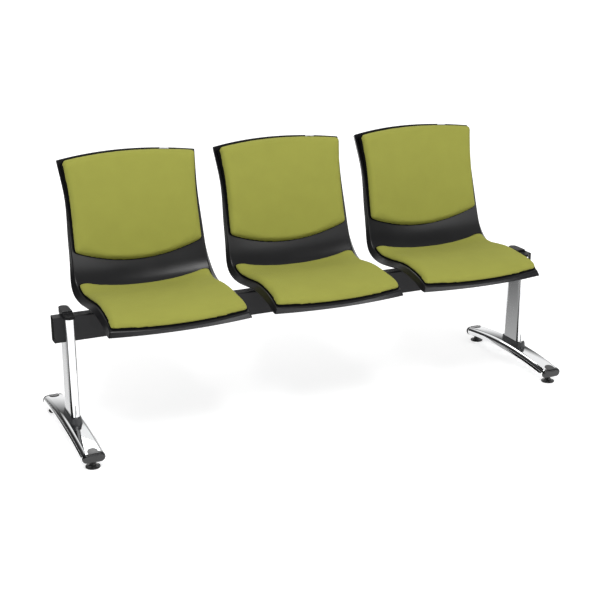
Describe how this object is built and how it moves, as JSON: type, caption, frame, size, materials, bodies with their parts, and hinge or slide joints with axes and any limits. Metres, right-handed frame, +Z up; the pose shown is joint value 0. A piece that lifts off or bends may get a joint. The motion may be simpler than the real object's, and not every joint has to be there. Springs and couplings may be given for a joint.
{
  "type": "beam seating",
  "caption": "Waiting-room bench: padded shell seats in a row on one rectangular beam, held by T-shaped legs with arched feet and levelling glides.",
  "frame": {"origin": "on the floor, under the middle of the outline", "axes": "+X along the beam, -Y the way the sitters face, +Z up"},
  "size_m": [1.704, 0.5687, 0.8334],
  "materials": {
    "shell_plastic": "satin moulded",
    "lime_fabric": "woven upholstery over foam",
    "beam_paint": "satin powder coat",
    "trim_plastic": "smooth moulded",
    "chromed_steel": "polished plate",
    "glide_plastic": "moulded",
    "bracket_steel": "satin powder coat"
  },
  "bodies": {
    "bench": {"back_pad_1": "lime_fabric", "back_pad_2": "lime_fabric", "back_pad_3": "lime_fabric", "beam": "beam_paint", "beam_clamp_1": "bracket_steel", "beam_clamp_2": "bracket_steel", "beam_clamp_3": "bracket_steel", "beam_end_plug_left": "trim_plastic", "beam_end_plug_right": "trim_plastic", "beam_saddle_left": "bracket_steel", "beam_saddle_right": "bracket_steel", "foot_caps_left": "trim_plastic", "foot_caps_right": "trim_plastic", "foot_left": "chromed_steel", "foot_right": "chromed_steel", "leg_base_plate_left": "bracket_steel", "leg_base_plate_right": "bracket_steel", "leg_collars": "trim_plastic", "leg_hoods": "trim_plastic", "leg_upright_left": "chromed_steel", "leg_upright_right": "chromed_steel", "seat_bracket_1": "bracket_steel", "seat_bracket_2": "bracket_steel", "seat_bracket_3": "bracket_steel", "seat_pad_1": "lime_fabric", "seat_pad_2": "lime_fabric", "seat_pad_3": "lime_fabric", "seat_shell_1": "shell_plastic", "seat_shell_2": "shell_plastic", "seat_shell_3": "shell_plastic"},
    "glide_front_left_body": {"glide_front_left": "glide_plastic"},
    "glide_front_right_body": {"glide_front_right": "glide_plastic"},
    "glide_rear_left_body": {"glide_rear_left": "glide_plastic"},
    "glide_rear_right_body": {"glide_rear_right": "glide_plastic"}
  },
  "joints": [
    {"name": "glide_front_left_screw", "type": "slide", "parent": "bench", "child": "glide_front_left_body", "axis": [0, 0, 1], "range_m": [-0.008, 0.006]},
    {"name": "glide_front_right_screw", "type": "slide", "parent": "bench", "child": "glide_front_right_body", "axis": [0, 0, 1], "range_m": [-0.008, 0.006]},
    {"name": "glide_rear_left_screw", "type": "slide", "parent": "bench", "child": "glide_rear_left_body", "axis": [0, 0, 1], "range_m": [-0.008, 0.006]},
    {"name": "glide_rear_right_screw", "type": "slide", "parent": "bench", "child": "glide_rear_right_body", "axis": [0, 0, 1], "range_m": [-0.008, 0.006]}
  ]
}
